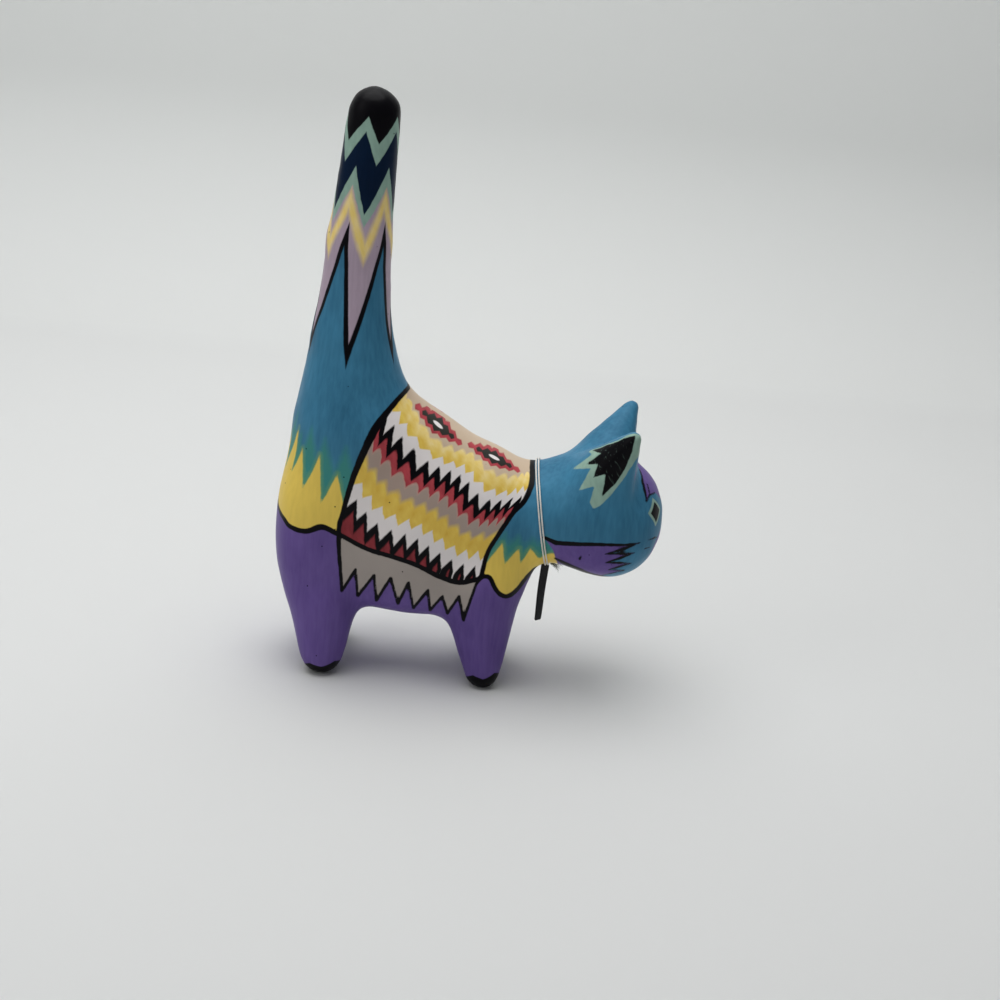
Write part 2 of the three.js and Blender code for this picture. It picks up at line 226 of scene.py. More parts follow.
# Each row: paint, level of its peaks and of its dips, shift in teeth, place of the peak in its tooth,
# roundness of the peaks and softness of the edge.
# The top row's straw is partly a paler paint and partly painted light: it is lighter because the top of the
# back faces the light above.
UPPER_ROWS = [
    ("straw", 0.140, 0.180, -0.10, 0.50, 2.0, 0.45),
    ("yellow", 0.195, 0.245, 0.10, 0.50, 2.5, 1.80),
    ("white", 0.250, 0.302, -0.25, 0.50, 0.2, 0.22),
    ("black", 0.320, 0.424, 0.00, 0.27, 1.6, 0.22),
    ("red", 0.408, 0.506, 0.12, 0.38, 2.0, 0.22),
    ("rose", 0.472, 0.560, 0.05, 0.45, 4.0, 0.22),
    ("taupe", 0.482, 0.572, 0.05, 0.45, 4.0, 0.40),
]
LOWER_ROWS = [
    ("yellow", 0.598, 0.662, 0.55, 0.55, 2.4, 0.80),
    ("ochre", 0.650, 0.710, 0.20, 0.60, 1.6, 1.60),
    ("yellow", 0.690, 0.745, 0.65, 0.60, 1.6, 1.60),
    ("white", 0.745, 0.812, -0.05, 0.62, 0.0, 0.22),
    ("black", 0.846, 0.952, 0.00, 0.64, 1.0, 0.22),
    ("maroon", 0.932, 1.045, -0.05, 0.62, 0.0, 0.30),
]
# How far the teeth sway, in teeth for each millimetre that the brush wanders.
ROW_SWAY = 0.14
# The two diamonds: the column and depth of each middle, and how much they lean.
DIAMONDS = [(3.73, 0.096, 0.0150), (8.97, 0.096, -0.004)]
# How much lower they sit on the left side, as a share of the blanket's depth.
FAR_DIAMOND_DROP = 0.045

# The tail's axis, bottom to top, and how many teeth of its zigzags go round it.
TAIL_HEIGHTS = [100, 125, 165, 210, 269]
TAIL_AXIS_X = [-58.5, -59.2, -62.2, -61.7, -58.6]
TAIL_TEETH = 5
# Each edge: the paint above it, heights of its dips and of its peaks, angle of a dip (from the right side,
# forwards), place of the peak in its tooth, width of a tooth in millimetres and softness of the edge.
TAIL_EDGES = [
    ("lilac", 160.5, 216.0, -73, 0.74, 20.5, 0.22),
    ("straw", 203.0, 226.0, -58, 0.47, 18.5, 1.10),
    ("lilac", 213.5, 236.5, -58, 0.47, 18.5, 1.10),
    ("sage", 219.5, 238.0, -63, 0.56, 18.0, 0.22),
    ("navy", 225.0, 246.5, -65, 0.60, 17.8, 0.22),
    ("sage", 247.5, 262.5, -52, 0.60, 17.0, 0.22),
    ("black", 257.0, 269.0, -51, 0.60, 16.5, 0.22),
]
# Half the width of the black line round the spikes of the lowest edge.
SPIKE_LINE_HALF = 1.05

# The feet: places along and across, radius, height of the black toe paint and depth of its waves.
FEET = [(-65.2, 19.0, 10.8, 6.6, 2.2), (13.2, 19.0, 9.0, 7.8, 2.4)]
TOE_WAVES = 5
TOE_START = 0.35
TOE_SLANT = 1.5
# How many foot radii from a foot's middle its toe paint may lie.
TOE_REACH = 2
# A distance beyond every edge, in millimetres.
FAR_AWAY = 1e3

# Evening out the carved skin: rounds of subdivision, then rounds of smoothing and their strength.
SUBDIVISIONS = 2
RELAX_ROUNDS = 4
RELAX_STRENGTH = 0.5
# The skin's broad dents and small nicks: their sizes in millimetres, and how deep nicks are next to dents.
DENT_SIZE = 17
NICK_SIZE = 6
NICK_SHARE = 0.45
NICK_SHIFT = Vector((40, 0, 0))

# How sharp a brushed edge is, and how far it wanders and over what length, in millimetres.
SHARP_EDGE = 0.22
EDGE_WANDER = 1.1
EDGE_WANDER_SIZE = 3.2
# How much of a stroked paint's shading is broad clouds; fine strokes make the rest.
CLOUD_SHARE = 0.65
# How far apart the specks are in millimetres, and where a speck starts and is full, as shares of that.
SPECK_SPACING = 9.0
SPECK_RADII = (0.045, 0.03)
# A diamond's half lengths, in millimetres.
DIAMOND_HALF = (14.2, 5.1)
# How full a diamond's sides are, and the spacing (in half lengths) and depth of its notches.
DIAMOND_BULGE = 1.2
DIAMOND_NOTCH = 0.13
DIAMOND_JAG = 2.0

# The cord's loop round the neck, the knot below the throat and the tuft of fibres beside it.
CORD_MIDDLE = Vector((34.7, 0, 86)) * MM
CORD_TOP = Vector((29.65, 0, 112.4)) * MM
CORD_STEPS = 90
CORD_CLEARANCE = 0.3 * MM
# The length of a step along the plies, and the size of the cotton's fuzz.
CORD_GRAIN = 0.35 * MM
KNOT_RADIUS = 1.15 * MM
KNOT_FLATNESS = 0.45
KNOT_DROP = 1.3 * MM
KNOT_STEPS = 40
PLIES = 3
PLY_SHARE = 0.27
PLY_SIDES = 6
FIBRES = 70
FIBRE_ROOT = 0.7 * MM
FIBRE_PLACE = (0.0018, -0.001, 0.0)
FIBRE_FAN = ((-0.4, -0.5, -0.7), (0.4, 0.6, 0.5))
# A fibre's radius as a share of its length, and the shortest fibre's length as a share of the longest's.
FIBRE_RADIUS = 0.011
SHORTEST_FIBRE = 0.45
# The size of the cotton's soiled patches, and how dark its darker fibres are.
SOILED_PATCH = 6 * MM
FIBRE_SHADE = 0.78

# The strip's mesh, and its grain and rubbed patches.
STRIP_STEPS = 40
STRIP_ROUNDING = 0.7
STRIP_EDGE_SHRINK = 0.12
STRIP_SWAY = 0.0004
STRIP_SWAY_TURN = 5
CORNER_STEPS = 3
LEATHER_GRAIN = 0.45 * MM
LEATHER_PATCH = 3 * MM
RUBBED_GAIN = 2.2

# The backdrop in metres: its bend, the fade into the painted light of its upright part, front edge, top and
# half width. Then come the bend's steps, and the lights.
BACKDROP_Y = 0.52
BACKDROP_BEND = 0.16
BACKDROP_FADE = 0.04
BACKDROP_FRONT = -2.5
BACKDROP_TOP = 2.5
BACKDROP_HALF_WIDTH = 3
BEND_STEPS = 16
TOP_LIGHT_PLACE = (-0.12, 0.08, 1.2)
TOP_LIGHT_SIZE = 1.3
SIDE_LIGHT_PLACE = (-0.9, -0.5, 0.7)
SIDE_LIGHT_SIZE = 0.7

MATH = "ShaderNodeMath"


def linear(hex_colour):
    """An sRGB hex colour as Blender's linear red, green and blue."""
    parts = [int(hex_colour[i : i + 2], 16) / 255 for i in (1, 3, 5)]
    return tuple(c / 12.92 if c <= 0.04045 else ((c + 0.055) / 1.055) ** 2.4 for c in parts)


def colour_property(name, hex_colour, description):
    return bpy.props.FloatVectorProperty(
        name=name, description=description, default=linear(hex_colour), subtype="COLOR", size=3, min=0, max=1
    )


def length_property(name, millimetres, description):
    return bpy.props.FloatProperty(
        name=name, description=description, default=millimetres * MM, unit="LENGTH", min=0, precision=5
    )


def angle_property(name, degrees, description):
    return bpy.props.FloatProperty(
        name=name, description=description, default=math.radians(degrees), unit="ROTATION"
    )


def light_property(name, strength, description, unit="POWER"):
    return bpy.props.FloatProperty(name=name, description=description, default=strength, unit=unit)


class CarvingSettings(bpy.types.PropertyGroup):
    """The carved skin."""

    skin_step: length_property("Skin step", 1.03, "Size of the small faces that make the carved skin")
    unevenness: length_property("Unevenness", 0.16, "How far the knife and sandpaper left the skin uneven")


class PaintSettings(bpy.types.PropertyGroup):
    """The acrylic paints, as they look dry."""

    blue: colour_property("Blue", "#4889ab", "Head, back and the foot of the tail")
    deep_blue: colour_property("Deep blue", "#2a5e7c", "Darker strokes in the blue")
    purple: colour_property("Purple", "#745ea2", "Legs, belly and cheeks")
    deep_purple: colour_property("Deep purple", "#544180", "Darker strokes in the purple")
    yellow: colour_property("Yellow", "#f5d566", "Flames and blanket rows")
    ochre: colour_property("Ochre", "#e7bb4e", "Second coat in the broad blanket rows")
    green: colour_property("Green", "#449384", "Blended edge of the flames")
    white: colour_property("White", "#f6efed", "White zigzag rows")
    black: colour_property("Black", "#0b0a0e", "Outlines, tail tip and toes")
    red: colour_property("Red", "#c24e56", "Red zigzag rows and diamonds")
    grey: colour_property("Warm grey", "#b0a69f", "Grey rows and the apron below the blanket")
    beige: colour_property("Beige", "#d7c0a6", "Band along the spine")
    lilac: colour_property("Lilac", "#bca9b9", "Tail")
    navy: colour_property("Navy", "#091f3a", "Tail")
    sage: colour_property("Sage", "#9abaab", "Tail rings, ear rims and eye rims")
    olive: colour_property("Olive black", "#34332f", "Middle of the diamonds")
    # Straw is a paler paint. In the blanket's top row it is also painted light, lighter where the back faces
    # the light above.
    straw: colour_property("Straw", "#fae2a0", "Upper blanket rows and the tail's zigzag")
    leaf: colour_property("Leaf green", "#8fb45e", "Where the flames' yellow runs into the green")
    rose: colour_property("Rose", "#cfa79a", "Rims of the taupe row")
    taupe: colour_property("Taupe", "#b39e92", "Row under the red teeth")


class CordSettings(bpy.types.PropertyGroup):
    """The doubled neck cord."""

    strand: length_property("Strand", 0.8, "Thickness of one strand")
    pitch: length_property("Pitch", 1.25, "Distance between the two strands")
    twist: length_property("Twist", 2.6, "Length of one turn of the plies")
    frayed: length_property("Frayed end", 5.5, "Length of the frayed fibres beside the knot")
    cotton: colour_property("Cotton", "#fbf8ef", "Colour of the cotton")
    soiled: colour_property("Soiled cotton", "#77806f", "Colour of the frayed end")


class StripSettings(bpy.types.PropertyGroup):
    """The narrow strip that hangs from the knot."""

    width: length_property("Width", 3.9, "Width of the strip")
    thickness: length_property("Thickness", 0.9, "Thickness of the strip")
    length: length_property("Length", 29.9, "Length of the strip")
    twist: angle_property("Twist", 42, "How far the strip twists on its way down")
    lean: angle_property("Lean", 2.4, "How far the strip leans back")
    black: colour_property("Black", "#1b1b1e", "Colour of the strip")


class StageSettings(bpy.types.PropertyGroup):
    """Floor, backdrop and lights."""

    floor: colour_property("Floor", "#dfe0df", "Colour of the floor")
    # Painted light: the upright part of the backdrop is coloured lighter than the floor, to make up for the
    # light it gets less of.
    painted_lit_wall: colour_property("Wall", "#eaecea", "Colour of the backdrop behind it")
    top_light: light_property("Top light", 12.7, "Overhead light")
    side_light: light_property("Side light", 1.6, "Light on the left")
    surround: light_property("Surround", 0.16, "Strength of the light all round", unit="NONE")
    surround_tint: colour_property("Surround colour", "#f4f6fa", "Colour of the light all round")


def add_node(tree, kind, inputs=None, **settings):
    """Adds a node with settings and links; an input is a value, a socket or a node's first live output."""
    node = tree.nodes.new(kind)
    for key, value in settings.items():
        setattr(node, key, value)
    for key, value in (inputs or {}).items():
        if isinstance(value, bpy.types.Node):
            value = next(s for s in value.outputs if not s.is_unavailable)
        if isinstance(value, bpy.types.NodeSocket):
            tree.links.new(value, node.inputs[key])
        else:
            node.inputs[key].default_value = value
    return node


def new_material(name):
    """An empty material and its node tree."""
    material = bpy.data.materials.new(name)
    material.use_nodes = True
    material.node_tree.nodes.clear()
    return material, material.node_tree


def new_group(name, kind, inputs, output):
    """A node group with these sockets, and the sockets that hold what it is given."""
    group = bpy.data.node_groups.new(name, kind)
    for way, sockets in (("INPUT", inputs), ("OUTPUT", output)):
        for socket, carries in sockets.items():
            group.interface.new_socket(name=socket, in_out=way, socket_type="NodeSocket" + carries)
    return group, add_node(group, "NodeGroupInput").outputs


def new_object(name, data):
    """A mesh, lamp or camera placed in the scene."""
    obj = bpy.data.objects.new(name, data)
    bpy.context.scene.collection.objects.link(obj)
    return obj


def finished_piece(name, mesh, material, node):
    """A piece in its final place that stands for a CAD node."""
    mesh.name = name
    piece = new_object(name, mesh)
    mesh.materials.clear()
    mesh.materials.append(material)
    for polygon in mesh.polygons:
        polygon.use_smooth = True
    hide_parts(node)
    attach(piece, "root")
    return piece


def baked_mesh(obj):
    """The object's evaluated mesh, and the object itself removed."""
    depsgraph = bpy.context.evaluated_depsgraph_get()
    mesh = bpy.data.meshes.new_from_object(obj.evaluated_get(depsgraph))
    bpy.data.objects.remove(obj, do_unlink=True)
    return mesh


def get_places(mesh):
    places = np.empty(len(mesh.vertices) * 3)
    mesh.vertices.foreach_get("co", places)
    return places.reshape(-1, 3) / MM


def set_places(mesh, places):
    mesh.vertices.foreach_set("co", (places * MM).ravel())
    mesh.update()


def get_normals(mesh):
    normals = np.empty(len(mesh.vertices) * 3)
    mesh.vertices.foreach_get("normal", normals)
    return normals.reshape(-1, 3)


def store(mesh, name, values):
    """Keeps one number or one vector for each vertex under a name that the paint reads."""
    vector = values.ndim == 2
    attribute = mesh.attributes.new(name, "FLOAT_VECTOR" if vector else "FLOAT", "POINT")
    attribute.data.foreach_set("vector" if vector else "value", values.astype(np.float32).ravel())


def rounded(line, steps=5):
    """The same drawn line as a smooth curve through its points."""
    line = np.array(line, float)
    run = np.vstack([2 * line[0] - line[1], line, 2 * line[-1] - line[-2]])
    curve = []
    for before, start, end, after in zip(run, run[1:], run[2:], run[3:]):
        for t in np.arange(steps) / steps:
            bend = (2 * before - 5 * start + 4 * end - after) * t**2
            twist = (3 * start - before - 3 * end + after) * t**3
            curve.append(start + ((end - before) * t + bend + twist) / 2)
    return [*curve, line[-1]]


def line_distance(places, line):
    """Distance to a brushed line less half its width, which changes along it."""
    least = np.full(len(places), FAR_AWAY)
    for (ax, ay, aw), (bx, by, bw) in zip(line, line[1:]):
        start, along = np.array((ax, ay)), np.array((bx - ax, by - ay))
        share = np.clip((places - start) @ along / (along @ along), 0, 1)
        gap = np.hypot(*(places - start - share[:, None] * along).T)
        least = np.minimum(least, gap - (aw + (bw - aw) * share))
    return least


def outline_distance(places, outline):
    """Distance to a closed outline, below zero inside it."""
    closed = [*outline, outline[0]]
    gap = line_distance(places, [(x, y, 0) for x, y in closed])
    inside = np.zeros(len(places), bool)
    x, y = places.T
    for (ax, ay), (bx, by) in zip(closed, closed[1:]):
        if ay != by:
            inside ^= ((ay > y) != (by > y)) & (x < (bx - ax) * (y - ay) / (by - ay) + ax)
    return np.where(inside, -gap, gap)


def side_places(places):
    """Where each point of the skin lies in the side drawing."""
    x, y, z = places.T
    across = np.sqrt(y * y + SPINE_SOFTNESS**2) - SPINE_SOFTNESS
    turn = np.arctan2((RUMP_MIDDLE_X - x) / RUMP_HALF_LENGTH, np.maximum(np.abs(y), 1e-3) / RUMP_HALF_WIDTH)
    along = np.where(x < RUMP_MIDDLE_X, RUMP_MIDDLE_X - RUMP_ROLL * turn, x)
    return np.stack([along, z - SIDE_SLOPE * across], axis=1)


def run_along(line, steps):
    """Evenly spaced places along a drawn line, first to last."""
    line = np.array(line, float)
    reached = np.r_[0, np.cumsum(np.hypot(*np.diff(line, axis=0).T))]
    at = steps * reached[-1]
    return np.stack([np.interp(at, reached, line[:, 0]), np.interp(at, reached, line[:, 1])], axis=1)


def blanket_places(drawn):
    """Column, level and depth of each point on the blanket, from straight lines between its two edges."""
    steps = np.linspace(0, 1, BLANKET_LINES)
    left, right = run_along(BLANKET_LEFT, steps), run_along(BLANKET_RIGHT, steps)
    span = right - left
    column = np.empty(len(drawn))
    depth = np.empty(len(drawn))
    for first in range(0, len(drawn), BATCH):
        part = drawn[first : first + BATCH]
        away = part[:, None, :] - left[None]
        above = span[None, :, 0] * away[:, :, 1] - span[None, :, 1] * away[:, :, 0]
        row = np.clip((above < 0).sum(1), 1, len(steps) - 1)
        pick = np.arange(len(part))
        before, after = above[pick, row - 1], above[pick, row]
        share = np.clip(before / np.where(before == after, 1, before - after), -1, 2)
        start = left[row - 1] + share[:, None] * (left[row] - left[row - 1])
        end = right[row - 1] + share[:, None] * (right[row] - right[row - 1])
        run = end - start
        column[first : first + BATCH] = ((part - start) * run).sum(1) / (run * run).sum(1) * BLANKET_COLUMNS
        depth[first : first + BATCH] = steps[row - 1] + share * steps[1]
    guides = [np.interp(column, GUIDE_COLUMNS, guide) for guide in (UPPER_GUIDE, MIDDLE_GUIDE, LOWER_GUIDE)]
    known = [0 * column, *guides, guides[2] + BELOW_GUIDES]
    levels = [0, *GUIDE_LEVELS, GUIDE_LEVELS[2] + BELOW_GUIDES]
    level = levels[-1] + (depth - known[-1])
    for low, high, level_low, level_high in reversed(list(zip(known, known[1:], levels, levels[1:]))):
        inside = level_low + (depth - low) / (high - low) * (level_high - level_low)
        level = np.where(depth < high, inside, level)
    return column, level * BLANKET_DEPTH, depth * BLANKET_DEPTH


def toe_distance(places):
    """Height above the wavy edge of the black toe paint."""
    x, y, z = places.T
    least = np.full(len(x), FAR_AWAY)
    for foot_x, foot_y, radius, height, depth in FEET:
        turn = np.arctan2(np.abs(y) - foot_y, x - foot_x)
        wave = np.abs(((turn / (2 * math.pi) * TOE_WAVES + TOE_START) % 1) * 2 - 1)
        near = np.hypot(x - foot_x, np.abs(y) - foot_y) < TOE_REACH * radius
        slant = TOE_SLANT * np.cos(turn)
        least = np.where(near, z - height - slant - depth * (wave - 0.5), least)
    return least


def lay_out_paint(mesh):
    """Stores on the skin how far each point is from every hand-drawn edge, in millimetres."""
    places = get_places(mesh)
    x, y, z = places.T
    side = side_places(places)
    front = np.stack([np.abs(y), z], axis=1)
    off_face = np.maximum(FACE_X - x, 0) * FACE_FADE
    closing = np.where(y < 0, EAR_EDGE_TURN * np.maximum(EAR_EDGE_X - x, 0), 0)
    inner_edge = EAR_EDGE_Y + EAR_EDGE_LEAN * (z - EAR_EDGE_Z) - closing
    outward = np.maximum(np.abs(y) - inner_edge, np.minimum(EAR_FOOT_Z - z, np.abs(y) - EAR_FOOT_Y))
    side_edges = {
        "flames": [RUMP_FLAMES, CHEST_FLAMES],
        "green_edge": [RUMP_GREEN, CHEST_GREEN],
        "purple_edge": [PURPLE_BELOW],
        "blanket_edge": [[*BLANKET_LEFT, *BLANKET_HEM, *reversed(BLANKET_RIGHT), *BLANKET_TOP]],
        "apron_edge": [APRON],
        "cheek_edge": [CHEEK],
    }
    for name, outlines in side_edges.items():
        store(mesh, name, np.min([outline_distance(side, outline) for outline in outlines], axis=0))
    column, level, depth = blanket_places(side)
    upper_tooth = np.interp(column, UPPER_PEAKS, range(len(UPPER_PEAKS)))
    lower_tooth = np.interp(column, LOWER_PEAKS, range(len(LOWER_PEAKS)))
    diamond_depth = depth - np.where(y > 0, FAR_DIAMOND_DROP * BLANKET_DEPTH, 0)
    store(mesh, "blanket_place", np.stack([column, -level, diamond_depth], axis=1))
    store(mesh, "blanket_tooth", np.stack([upper_tooth, lower_tooth, 0 * column], axis=1))
    store(mesh, "ear_black", np.maximum(outline_distance(side, EAR_BLACK), -outward))
    store(mesh, "ear_sage", np.maximum(outline_distance(side, EAR_SAGE), -outward - EAR_RIM))
    store(mesh, "inner_ear", np.maximum(outline_distance(front, INNER_EAR), INNER_EAR_X - x))
    front_edges = {"brow_edge": BROW, "muzzle_edge": MUZZLE, "eye_edge": EYE, "nose_edge": NOSE}
    for name, outline in front_edges.items():
        store(mesh, name, outline_distance(front, outline) + off_face)
    store(mesh, "eye_inner", outline_distance(front, EYE) + off_face + EYE_RIM)
    ink = toe_distance(places)
    for name, line in SIDE_LINES.items():
        ink = np.minimum(ink, line_distance(side, rounded(line) if name in ROUND_LINES else line))
    for line in FRONT_LINES.values():
        ink = np.minimum(ink, line_distance(front, line) + off_face)
    store(mesh, "ink", ink)
    axis_x = np.interp(z, TAIL_HEIGHTS, TAIL_AXIS_X)
    store(mesh, "tail_place", np.stack([x - axis_x, y, z], axis=1))


def carve_skin(settings):
    """The CAD solid's skin made smooth, with evenly sized faces and a slight unevenness from the knife."""
    shape = bmesh.new()
    shape.from_mesh(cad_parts["cat"].data)
    bmesh.ops.remove_doubles(shape, verts=shape.verts, dist=1e-6)
    mesh = bpy.data.meshes.new("carving")
    shape.to_mesh(mesh)
    shape.free()
    rough = new_object("carving", mesh)
    smooth = rough.modifiers.new("smooth", "SUBSURF")
    smooth.levels = smooth.render_levels = SUBDIVISIONS
    even = rough.modifiers.new("even", "REMESH")
    even.mode = "VOXEL"
    even.voxel_size = settings.skin_step
    relax = rough.modifiers.new("relax", "SMOOTH")
    relax.factor = RELAX_STRENGTH
    relax.iterations = RELAX_ROUNDS
    skin = baked_mesh(rough)
    places = get_places(skin)
    normals = get_normals(skin)
    lift = np.empty(len(places))
    for i, place in enumerate(places):
        dent = noise.noise(Vector(place) / DENT_SIZE)
        nick = noise.noise(Vector(place) / NICK_SIZE + NICK_SHIFT)
        lift[i] = dent + NICK_SHARE * nick
    places += normals * (lift[:, None] * settings.unevenness / MM)
    places[:, 2] = np.maximum(places[:, 2], 0)
    low, high = np.array(CAD_BOX[0]) / MM, np.array(CAD_BOX[1]) / MM
    set_places(skin, np.clip(places, low, high))
    return skin


def zigzag_group():
    """A node group: distance above a zigzag edge in millimetres, from place along in teeth and height."""
    inputs = dict.fromkeys(("Along", "Height", "Dip", "Peak", "Lean", "Tooth Width", "Roundness"), "Float")
    group, given = new_group("zigzag_edge", "ShaderNodeTree", inputs, {"Distance": "Float"})
    tooth = add_node(group, MATH, {0: given["Along"]}, operation="FRACT")
    rise = add_node(group, MATH, {0: given["Peak"], 1: given["Dip"]}, operation="SUBTRACT")
    above = add_node(group, MATH, {0: given["Height"], 1: given["Dip"]}, operation="SUBTRACT")
    fall_share = add_node(group, MATH, {0: 1.0, 1: given["Lean"]}, operation="SUBTRACT")
    flanks = {}
    for side, share in (("up", given["Lean"]), ("down", fall_share)):
        run = add_node(group, MATH, {0: share, 1: given["Tooth Width"]}, operation="MULTIPLY")
        slope = add_node(group, MATH, {0: rise, 1: run}, operation="DIVIDE")
        squared = add_node(group, MATH, {0: slope, 1: slope, 2: 1.0}, operation="MULTIPLY_ADD")
        scale = add_node(group, MATH, {0: squared}, operation="INVERSE_SQRT")
        for turn in ("this", "next"):
            shift = float((side == "up") == (turn == "next"))
            ends = {0: tooth, 1: shift} if side == "up" else {0: shift, 1: tooth}
            reach = add_node(group, MATH, ends, operation="SUBTRACT")
            climb = add_node(group, MATH, {0: reach, 1: share}, operation="DIVIDE")
            level = add_node(group, MATH, {0: climb, 1: rise}, operation="MULTIPLY")
            gap = add_node(group, MATH, {0: above, 1: level}, operation="SUBTRACT")
            flanks[side, turn] = add_node(group, MATH, {0: gap, 1: scale}, operation="MULTIPLY")
    flanks_here = {0: flanks["up", "this"], 1: flanks["down", "this"], 2: given["Roundness"]}
    peak = add_node(group, MATH, flanks_here, operation="SMOOTH_MAX")
    beside = add_node(group, MATH, {0: flanks["up", "next"], 1: flanks["down", "next"]}, operation="MINIMUM")
    nearest = add_node(group, MATH, {0: peak, 1: beside}, operation="MINIMUM")
    add_node(group, "NodeGroupOutput", {0: nearest})
    return group


def painted_wood(paints):
    """Hand-brushed acrylic on carved wood: a low sheen, streaks along the strokes and soft uneven edges."""
    material, tree = new_material("brushed_acrylic_on_carved_wood")
    zigzag = zigzag_group()
    spot = add_node(tree, "ShaderNodeTexCoord").outputs["Object"]

    def texture(patch_mm, stretch=1, lean=0.0, detail=2.0):
        """Noise with patches about patch_mm wide, drawn out into strokes that lean along the cat."""
        turn = {"Vector": spot, "Angle": lean}
        turned = add_node(tree, "ShaderNodeVectorRotate", turn, rotation_type="Y_AXIS")
        size = patch_mm * MM
        scale = (1 / size, 1 / size, 1 / size / stretch)
        placed = add_node(tree, "ShaderNodeMapping", {"Vector": turned, "Scale": scale})
        return add_node(tree, "ShaderNodeTexNoise", {"Vector": placed, "Scale": 1.0, "Detail": detail})

    def streaked(light, dark, strokes, low=0.35, high=0.85):
        """One paint in two strengths, mixed along its strokes."""
        ends = {"Value": strokes, "From Min": low, "From Max": high}
        share = add_node(tree, "ShaderNodeMapRange", ends)
        return add_node(tree, "ShaderNodeMix", {0: share, 6: (*light, 1), 7: (*dark, 1)}, data_type="RGBA")

    def paint(name, factor=1.0):
        return tuple(c * factor for c in getattr(paints, name))

    wander_range = {0: texture(patch_mm=EDGE_WANDER_SIZE), 1: EDGE_WANDER, 2: -EDGE_WANDER / 2}
    wobble = add_node(tree, MATH, wander_range, operation="MULTIPLY_ADD")
    slanted = texture(patch_mm=1.2, stretch=8, lean=0.55)
    smudges = texture(patch_mm=2.8, stretch=3, lean=0.3)
    upright = texture(patch_mm=1.8, stretch=9)
    clouds = texture(patch_mm=22, stretch=1.7, lean=0.2, detail=3.0)
    soft_strokes = add_node(tree, MATH, {0: upright, 1: 1 - CLOUD_SHARE}, operation="MULTIPLY")
    brushed = add_node(tree, MATH, {0: clouds, 1: CLOUD_SHARE, 2: soft_strokes}, operation="MULTIPLY_ADD")

    def covered(distance, soft=SHARP_EDGE, wander=0.6, side=-1, most=1.0):
        """How far a paint covers on one side of its edge; the edge wanders a little, as a brush does."""
        moved = add_node(tree, MATH, {0: wobble, 1: wander, 2: distance}, operation="MULTIPLY_ADD")
        ends = {"Value": moved, "From Min": -side * soft, "From Max": side * soft, "To Max": most}
        return add_node(tree, "ShaderNodeMapRange", ends)

    def edge(name, **how):
        return covered(add_node(tree, "ShaderNodeAttribute", attribute_name=name).outputs["Fac"], **how)

    def stored_parts(name):
        """The three numbers that the skin keeps at each point under one name."""
        stored = add_node(tree, "ShaderNodeAttribute", attribute_name=name)
        return add_node(tree, "ShaderNodeSeparateXYZ", {0: stored.outputs["Vector"]}).outputs

    def layered(colour, layers):
        """Lays each paint over the last where its cover says."""
        for fill, cover in layers:
            fill = (*fill, 1) if isinstance(fill, tuple) else fill
            colour = add_node(tree, "ShaderNodeMix", {0: cover, 6: colour, 7: fill}, data_type="RGBA")
        return colour

    yellow = streaked(paint("yellow"), paint("yellow", 0.92), upright)
    purple = streaked(paint("purple"), paint("deep_purple"), brushed)
    grey = streaked(paint("grey"), paint("grey", 0.88), clouds)
    fills = {
        "yellow": streaked(paint("yellow"), paint("ochre"), smudges),
        "ochre": streaked(paint("ochre"), paint("yellow"), smudges),
        "straw": streaked(paint("straw"), paint("yellow"), smudges),
        "white": streaked(paint("white"), paint("white", 0.9), clouds),
        "black": paint("black"),
        "red": streaked(paint("red"), paint("red", 0.6), smudges),
        "maroon": streaked(paint("red", 0.6), paint("red", 0.32), smudges),
        "rose": streaked(paint("rose"), paint("rose", 0.85), smudges),
        "taupe": streaked(paint("taupe"), paint("grey"), clouds),
        "lilac": streaked(paint("lilac"), paint("lilac", 0.85), upright),
        "sage": streaked(paint("sage"), paint("sage", 0.8), smudges),
        "navy": streaked(paint("navy"), paint("navy", 0.6), brushed),
    }

    # The blanket: a beige band along the spine with two diamonds, then rows of leaning teeth.
    column, height, depth = stored_parts("blanket_place")
    upper, lower, _ = stored_parts("blanket_tooth")
    rows = []
    for tooth, bands in ((upper, UPPER_ROWS), (lower, LOWER_ROWS)):
        unsteady = add_node(tree, MATH, {0: wobble, 1: ROW_SWAY, 2: tooth}, operation="MULTIPLY_ADD")
        for name, peak, dip, shift, lean, roundness, soft in bands:
            shape = {
                "Dip": -dip * BLANKET_DEPTH,
                "Peak": -peak * BLANKET_DEPTH,
                "Lean": lean,
                "Tooth Width": COLUMN_WIDTH,
                "Roundness": roundness,
                "Along": add_node(tree, MATH, {0: unsteady, 1: lean - shift}, operation="ADD"),
                "Height": height,
            }
            row = add_node(tree, "ShaderNodeGroup", shape, node_tree=zigzag)
            rows.append((fills[name], covered(row, wander=0.35, soft=soft)))
    for middle_column, middle_depth, slope in DIAMONDS:
        across = add_node(tree, MATH, {0: column, 1: middle_column}, operation="SUBTRACT")
        sunk = add_node(tree, MATH, {0: depth, 1: middle_depth * BLANKET_DEPTH}, operation="SUBTRACT")
        slant = {0: across, 1: -slope * BLANKET_DEPTH, 2: sunk}
        level_off = add_node(tree, MATH, slant, operation="MULTIPLY_ADD")
        reach, bulged, squared = [], [], []
        for gap, share in ((across, COLUMN_WIDTH / DIAMOND_HALF[0]), (level_off, 1 / DIAMOND_HALF[1])):
            scaled = add_node(tree, MATH, {0: gap, 1: share}, operation="MULTIPLY")
            reach.append(add_node(tree, MATH, {0: scaled}, operation="ABSOLUTE"))
            bulged.append(add_node(tree, MATH, {0: reach[-1], 1: DIAMOND_BULGE}, operation="POWER"))
            squared.append(add_node(tree, MATH, {0: reach[-1], 1: reach[-1]}, operation="MULTIPLY"))
        rhombus = add_node(tree, MATH, dict(enumerate(bulged)), operation="ADD")
